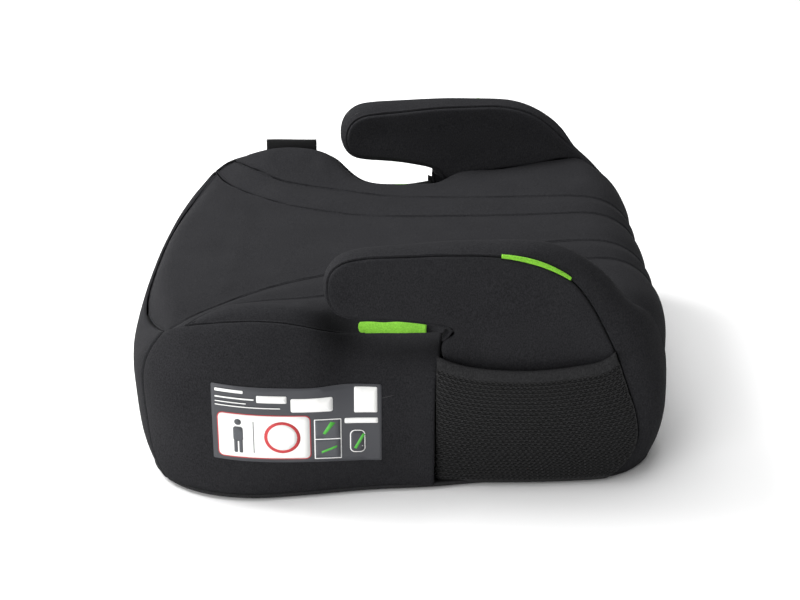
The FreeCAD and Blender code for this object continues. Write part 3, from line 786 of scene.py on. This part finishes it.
def mesh_sheet(grid, wide, tall, lip):
    """Sheet with staggered oval holes over the grid, from lip millimetres below its upper edge."""
    pitch_x, pitch_z = MESH_PITCH
    across = int(wide / pitch_x)
    down = int((tall - lip) / pitch_z)
    points, faces, index = [], [], {}

    def vertex(x, z):
        key = (round(x, 3), round(z, 3))
        if key not in index:
            index[key] = len(points)
            points.append((x, z))
        return index[key]

    for row in range(down):
        for column in range(-1, across + 1):
            cx = (column + 0.5 + 0.5 * (row % 2)) * pitch_x
            cz = (row + 0.5) * pitch_z
            corner = [(-0.5, -1 / 6), (0, -2 / 3), (0.5, -1 / 6), (0.5, 1 / 6), (0, 2 / 3), (-0.5, 1 / 6)]
            outer = [vertex(cx + a * pitch_x, cz + b * pitch_z) for a, b in corner]
            middle = []
            for k, (a, b) in enumerate(corner):
                angle = math.atan2(b * pitch_z, a * pitch_x)
                middle.append(len(points))
                points.append((cx + MESH_HOLE[0] * math.cos(angle), cz + MESH_HOLE[1] * math.sin(angle)))
            for k in range(6):
                n = (k + 1) % 6
                faces.append((outer[k], outer[n], middle[n], middle[k]))
    flat = np.array(points)
    s = np.clip(flat[:, 0] / wide, 0, 1)
    t = np.clip((lip + flat[:, 1]) / tall, 0, 1)
    return on_grid(grid, s, t), faces, flat


def pockets():
    grid = pocket_surface()
    tall = run_along(grid[:, 12])[-1]
    wide = run_along(grid[8])[-1]
    for side in SIDES:
        points, faces, _ = mesh_sheet(grid, wide, tall, 2.0)
        piece = mesh_piece(f"pocket_mesh_{side}_sheet", mirrored(points, side), faces, MATERIALS["mesh"])
        merge(piece)
        if np.mean(get_normals(piece)[:, 1]) * SIDES[side] < 0:
            piece.data.flip_normals()
        finish_soft(piece, MESH_THICK, 1)
        declare(piece, [f"pocket_mesh_{side}"])
        # Near-black sheet just behind the mesh: painted shade that darkens the holes, standing in for the
        # shadow inside the pocket.
        back = grid - (0, SHADE_SHEET_GAP, 0)
        rows, columns, _ = back.shape
        rear = mesh_piece(f"pocket_painted_shade_sheet_{side}", mirrored(back.reshape(-1, 3), side),
                          grid_faces(rows, columns, SIDES[side] < 0), MATERIALS["mesh_painted_shade"])
        declare(rear, [f"pocket_mesh_{side}"])
        binding(grid, tall, side)


def merge(piece):
    """Joins coincident corners and drops faces that collapsed on the border."""
    work = bmesh.new()
    work.from_mesh(piece.data)
    bmesh.ops.remove_doubles(work, verts=work.verts, dist=0.05 * MM)
    bmesh.ops.dissolve_degenerate(work, dist=0.02 * MM, edges=work.edges)
    work.to_mesh(piece.data)
    work.free()


def folded(line, thickness):
    """Closed outline of a folded strip: its section's middle line, thickened to both sides."""
    line = np.array(line, float)
    along = np.gradient(line, axis=0)
    along /= np.linalg.norm(along, axis=1, keepdims=True)
    across = np.stack([-along[:, 1], along[:, 0]], axis=1) * thickness / 2
    return np.concatenate([line + across, (line - across)[::-1]])


def tube_piece(name, rings, material, closed=False):
    """Piece over rows of points that go round a section, with its normals outward."""
    points = np.array(rings)
    faces = tube_faces(points.shape[0], points.shape[1], closed)
    piece = mesh_piece(name, points.reshape(-1, 3), faces, material)
    work = bmesh.new()
    work.from_mesh(piece.data)
    bmesh.ops.recalc_face_normals(work, faces=work.faces)
    work.to_mesh(piece.data)
    work.free()
    return piece


def tube_faces(ring, count, closed=False):
    """Faces over ring rows of count points; the ends are closed unless the rows join up."""
    faces = []
    for i in range(ring):
        n = (i + 1) % ring
        for j in range(count if closed else count - 1):
            k = (j + 1) % count
            faces.append((i * count + j, n * count + j, n * count + k, i * count + k))
    if not closed:
        for row in range(ring // 2 - 1):
            for j, turn in ((0, 1), (count - 1, -1)):
                quad = (row, row + 1, ring - 2 - row, ring - 1 - row)
                faces.append([i * count + j for i in quad][::turn])
    return faces


def binding(grid, tall, side):
    """Bias strip folded over the pocket's upper edge."""
    count = 70
    s = np.linspace(0, 1, count)
    line = [(7.4, -0.8), (5, -1.0), (2.5, -1.1), (0.6, -1.0), (-0.4, -0.5), (-0.5, 0.2), (-0.2, 0.8),
            (0.6, 1.3), (2.5, 1.5), (5, 1.45), (7, 1.3), (7.6, 1.0)]
    rows = []
    for down, out in folded(line, 0.8):
        base = on_grid(grid, s, np.full(count, max(0.0, down) / tall))
        base[:, 1] += out
        base[:, 2] += max(0.0, -down)
        rows.append(base)
    piece = tube_piece(f"pocket_band_{side}", mirrored(rows, side), MATERIALS["lining"])
    declare(piece, [f"pocket_binding_{side}"])


# ---------------------------------------------------------------- trim

def swept(name, path, section, material, closed=False, ups=None):
    """Closed section (out, up) swept along a path; out is across the path, up is +Z or the given vectors."""
    path = np.asarray(path, float)
    count = len(path)
    tangent = np.gradient(path, axis=0)
    if closed:
        tangent = np.roll(path, -1, axis=0) - np.roll(path, 1, axis=0)
    tangent /= np.linalg.norm(tangent, axis=1, keepdims=True)
    up = np.tile([0.0, 0.0, 1.0], (count, 1)) if ups is None else np.asarray(ups, float)
    out = np.cross(tangent, up)
    out /= np.linalg.norm(out, axis=1, keepdims=True)
    up = np.cross(out, tangent)
    return tube_piece(name, [path + out * a + up * b for a, b in section], material, closed)


def floor_loop():
    """Where the cover meets the floor, as a closed curve."""
    left = REAR_LEVELS[-1][::-1] + HIP_LEVELS[-1][1:] + [(60, 199, 3.5), (100, 197, 3.5), (140, 194, 3.5)]
    left += [ARM_FRONT[-1][k] for k in range(5)] + [BOLSTER_RIDGE[-1], BOLSTER_INNER[-1], INNER_LINE[-1]]
    loop = left + [CENTRE[-1]] + [(x, -y, z) for x, y, z in reversed(left[1:])]
    return closed_curve([(x, y, HEM_HEIGHT) for x, y, _ in loop], count=420)


def hem():
    """Turned-under hem: a small roll at the floor edge and a flat allowance under the rim."""
    line = [(-14, -1.5), (-6, -1.5), (-1, -1.4), (0.5, -0.9), (1.1, 0.1), (0.6, 1.1), (-0.8, 1.2),
            (-2.4, 0.4), (-6, -0.2), (-14, -0.4)]
    loop = floor_loop()
    piece = swept("hem", loop[::-1], folded(line, 0.8), MATERIALS["lining"], closed=True)
    declare(piece, ["cover_hem"])


def green_piping():
    for side in SIDES:
        seam = [(x, ARM_OUT, z) for (x, z), _ in HORN[-2:]] + [row[0] for row in ARM_FRONT[:5]]
        curve = arc_resample(seam, 1.0)
        curve = curve[(curve[:, 0] > PIPING_X[0]) & (curve[:, 0] < PIPING_X[1])]
        curve = curve + (0, 2.0, 1.6)
        s = np.linspace(0, 1, len(curve))
        size = 1.0 + 0.45 * np.sin(math.pi * np.clip(s * 0.9 + 0.1, 0, 1))
        angles = np.linspace(0, 2 * math.pi, 12, endpoint=False)
        path = mirrored(curve, side)
        tangent = np.gradient(path, axis=0)
        tangent /= np.linalg.norm(tangent, axis=1, keepdims=True)
        across = np.tile([0.0, 1.0, 0.0], (len(path), 1))
        out = np.cross(tangent, across)
        turns = [across * math.cos(a) * 1.15 + out * math.sin(a) * 1.3 for a in angles]
        rings = [path + turn * size[:, None] for turn in turns]
        piece = tube_piece(f"green_strip_{side}", rings, MATERIALS["green"])
        declare(piece, [f"armrest_piping_{side}"])


def belt_tab():
    """Folded ribbon lying over the slot's outer seam."""
    x0, x1 = TAB_X
    for side in SIDES:
        xs = np.linspace(x0, x1, 30)
        path = np.stack([xs, 161.5 + 0.25 * np.sin(xs * 0.35), 108.8 + 0.3 * np.sin(xs * 0.22 + 1)], axis=1)
        line = [(4.2, -1.2), (2.6, 0.8), (0.4, 3.0), (-2.4, 5.0), (-5.2, 6.5), (-7.0, 7.2), (-7.7, 7.0),
                (-7.4, 6.3), (-5.4, 5.4), (-2.8, 3.9), (-0.2, 2.0), (1.8, 0), (3.2, -1.8)]
        path = mirrored(path, side)
        flip = (-1, 1) if SIDES[side] > 0 else (1, 1)
        piece = swept(f"belt_tab_{side}", path, folded(line, 0.8) * flip, MATERIALS["green"])
        declare(piece, [f"belt_marker_tab_{side}"])


def tag():
    """Folded woven tag that stands up out of the left wing's seam."""
    xs = np.linspace(*TAG_X, 20)
    lean = 0.4 * np.sin((xs - TAG_X[0]) * 0.12)
    line = [(-0.5, 131), (-0.5, 138), (-0.45, 144), (-0.35, 146.2), (0, 146.7), (0.35, 146.2), (0.45, 144),
            (0.5, 138), (0.5, 131)]
    rows = [[(x, 197.2 + out + shift * (h - 131) / 15, h) for x, shift in zip(xs, lean)]
            for out, h in folded(line, 0.5)]
    piece = tube_piece("woven_tag_ribbon", rows, MATERIALS["tag"])
    declare(piece, ["woven_tag"])


def drape(tree, outline, lift, side=-1):
    """(X, Z) points laid on the right hip panel, lifted off it."""
    out = []
    for x, z in outline:
        hit, normal, _, _ = tree.ray_cast(Vector((x * MM, side * 0.4, z * MM)), Vector((0, -side, 0)))
        if normal.y * side < 0:
            normal = -normal
        out.append(tuple((hit + normal * lift * MM) / MM))
    return np.array(out)


def rounded_box(x0, x1, z0, z1, radius, steps=5):
    corners = [(x1 - radius, z1 - radius, 0), (x0 + radius, z1 - radius, 90),
               (x0 + radius, z0 + radius, 180), (x1 - radius, z0 + radius, 270)]
    return [(cx + radius * math.cos(math.radians(start + 90 * k / steps)),
             cz + radius * math.sin(math.radians(start + 90 * k / steps)))
            for cx, cz, start in corners for k in range(steps + 1)]


def circle(cx, cz, radius, steps=32):
    return [(cx + radius * math.cos(2 * math.pi * k / steps), cz + radius * math.sin(2 * math.pi * k / steps))
            for k in range(steps)]


def decal(name, tree, outline, material, lift, spacing=4.0):
    """Thin printed shape laid on the hip panel."""
    curve = []
    for a, b in zip(outline, outline[1:] + outline[:1]):
        steps = max(1, int(math.dist(a, b) / spacing))
        curve += [(a[0] + (b[0] - a[0]) * k / steps, a[1] + (b[1] - a[1]) * k / steps) for k in range(steps)]
    curve = np.array(curve)
    low, high = curve.min(axis=0), curve.max(axis=0)
    xs = np.arange(low[0] + spacing / 2, high[0], spacing)
    zs = np.arange(low[1] + spacing / 2, high[1], spacing)
    grid = np.array([(x, z) for x in xs for z in zs]).reshape(-1, 2)
    if len(grid):
        grid = grid[inside(grid, curve)]
    if len(grid):
        grid = grid[distance_to(grid, arc_closed(curve))[0] > spacing * 0.3]
    points = np.concatenate([curve, grid]) if len(grid) else curve
    edges = [(i, (i + 1) % len(curve)) for i in range(len(curve))]
    vertices, _, faces, _, _, _ = delaunay_2d_cdt([Vector(p) for p in points], edges, [], 1, 1e-5)
    flat = [tuple(v) for v in vertices]
    piece = mesh_piece(name, drape(tree, flat, lift), faces, material)
    if np.mean(get_normals(piece)[:, 1]) > 0:
        piece.data.flip_normals()
    finish_soft(piece, 0.12 if lift > LABEL_LIFT else 0.45, 0)
    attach(piece, "root")
    return piece


def on_label(outline):
    """Sets an outline of the label's layout on the hip, where the label sits a little askew."""
    (x, z), (wide, tall) = LABEL_AT, LABEL_SCALE
    return [(x + wide * u, z + tall * w - LABEL_TILT * u) for u, w in outline]


def label(hips):
    """Printed label without lettering: a red-rimmed field with a figure and a ring, bars and pictures."""
    hip = hips["right"]
    points = get_points(hip) * MM
    tree = BVHTree.FromPolygons(points.tolist(), [list(p.vertices) for p in hip.data.polygons])
    x1, z1 = LABEL_WIDE, LABEL_TALL
    tape = on_label(rounded_box(0, x1, 0, z1, 1.0, 2))
    base = decal("label_base", tree, tape, MATERIALS["label"], LABEL_LIFT)
    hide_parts("instruction_label")
    def box(name, x0, x1, z0, z1, radius, ink):
        return name, rounded_box(x0, x1, z0, z1, radius), ink

    prints = [
        box("rim", 4, 76, 3, 42, 4.5, "label_red"),
        box("field", 4.8, 75.2, 3.8, 41.2, 3.8, "label_white"),
        ("ring", circle(54, 22.5, 14), "label_red"),
        ("ring_inside", circle(54, 22.5, 11.4), "label_white"),
        ("head", circle(20, 34.5, 2.7, 20), "label_grey"),
        box("torso", 16.2, 23.8, 17.5, 30.5, 2.2, "label_grey"),
        box("leg_a", 16.6, 19.4, 7.5, 18.5, 1.0, "label_grey"),
        box("leg_b", 20.6, 23.4, 7.5, 18.5, 1.0, "label_grey"),
        box("height_bar", 31.6, 32.2, 8, 36, 0.3, "label_grey"),
        box("block_a", 35, 58, 52.5, 58.5, 0.8, "label_white"),
        box("block_b", 61, 93, 45, 56.5, 1.5, "label_white"),
        box("block_c", 102, 128, 34, 38.5, 1.0, "label_white"),
        box("block_d", 109.5, 127.5, 43, 63, 1.0, "label_white"),
        box("picture", 78.5, 99.5, 3, 38.5, 0.6, "label_white"),
        box("picture_a", 79.3, 98.7, 21.3, 37.7, 0.3, "label_grey"),
        box("picture_b", 79.3, 98.7, 3.8, 20.5, 0.3, "label_grey"),
        ("strap_a", [(85, 26), (87, 25), (95, 35), (91, 36)], "label_green"),
        ("strap_b", [(84, 8), (96, 13), (96, 15), (84, 10)], "label_green"),
        box("seat_back", 106, 118, 8, 28, 4.0, "label_white"),
        box("seat_back_inside", 106.8, 117.2, 8.8, 27.2, 3.3, "label"),
        ("seat_strap", [(109, 12), (111, 11), (118, 24), (116, 25)], "label_green"),
    ]
    bars = ((22, 2.4, 3.2), (30, 1.2, 9.5), (24, 0.8, 13.5), (50, 0.8, 16.5))  # wide, tall, down from the top
    for k, (wide, tall, down) in enumerate(bars):
        top = LABEL_TALL - down
        prints.append(box(f"line_{k}", 3, 3 + wide, top - tall, top, tall / 3, "label_white"))
    groups = {}
    for order, (name, outline, key) in enumerate(prints):
        lift = INK_LIFT + INK_STEP * order
        piece = decal(f"print_{name}", tree, on_label(outline), MATERIALS[key], lift)
        groups.setdefault(key, []).append(piece)
    inks = [join(members, f"print_{key}") for key, members in groups.items()]


def join(members, name):
    """Joins decals of one ink into one piece."""
    for other in bpy.context.selected_objects:
        other.select_set(False)
    for member in members:
        member.select_set(True)
    bpy.context.view_layer.objects.active = members[0]
    bpy.ops.object.join()
    members[0].name = name
    return members[0]


def dress_frame():
    """Better finishes for the CAD pieces that stay."""
    finish = {"seat_tub": "shell", "armrest_core_left": "shell", "armrest_core_right": "shell",
              "rubber_feet": "rubber", "armrest_screws": "zinc", "hem_elastic": "elastic"}
    for node, key in finish.items():
        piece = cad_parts[node]
        for slot in piece.material_slots:
            slot.material = MATERIALS[key]


# ---------------------------------------------------------------- studio

def studio():
    """White floor, broad soft light from above and behind the seat, and a low fill from its right rear."""
    mesh = bpy.data.meshes.new("floor")
    size = 6.0
    corners = [(-size, -size, 0), (size, -size, 0), (size, size, 0), (-size, size, 0)]
    mesh.from_pydata(corners, [], [(0, 1, 2, 3)])
    material, _, shader = new_material("white_paper_floor", 0.9, Specular_IOR_Level=0.1)
    shader.inputs["Base Color"].default_value = hex_colour("#fafafa")
    mesh.materials.append(material)
    floor = bpy.data.objects.new("floor", mesh)
    bpy.context.scene.collection.objects.link(floor)
    world = bpy.data.worlds.new("studio")
    world.use_nodes = True
    background = world.node_tree.nodes["Background"]
    background.inputs["Color"].default_value = (1, 1, 1, 1)
    background.inputs["Strength"].default_value = 0.3
    bpy.context.scene.world = world
    lights = [  # name, place, width in metres, watts
        ("key", (-1.6, 0.7, 1.6), 1.2, 62),
        ("top", (-0.3, 0.2, 2.2), 2.0, 40),
        ("fill", (-1.3, -1.8, 0.8), 1.4, 34),
    ]
    for name, place_at, width, power in lights:
        light = bpy.data.lights.new(name, "AREA")
        light.size = width
        light.energy = power
        lamp = bpy.data.objects.new(name, light)
        lamp.location = place_at
        aim = Vector((0, 0, 0.1)) - Vector(place_at)
        lamp.rotation_euler = aim.to_track_quat("-Z", "Y").to_euler()
        bpy.context.scene.collection.objects.link(lamp)


def camera():
    """Looking level along +Y and 24 degrees down, from 1.37 m, with a short telephoto."""
    lens = bpy.data.cameras.new("camera")
    lens.sensor_width = 36.0
    lens.lens = 69.7
    view = bpy.data.objects.new("camera", lens)
    view.location = (0, -1.222, 0.610)
    view.rotation_euler = (math.radians(90 - 24), 0, 0)
    bpy.context.scene.collection.objects.link(view)
    bpy.context.scene.camera = view
    bpy.context.scene.view_settings.view_transform = "Standard"


seat_panels()
hips = hip_and_rear_panels()
armrests()
pockets()
hem()
green_piping()
belt_tab()
tag()
label(hips)
dress_frame()
studio()
camera()
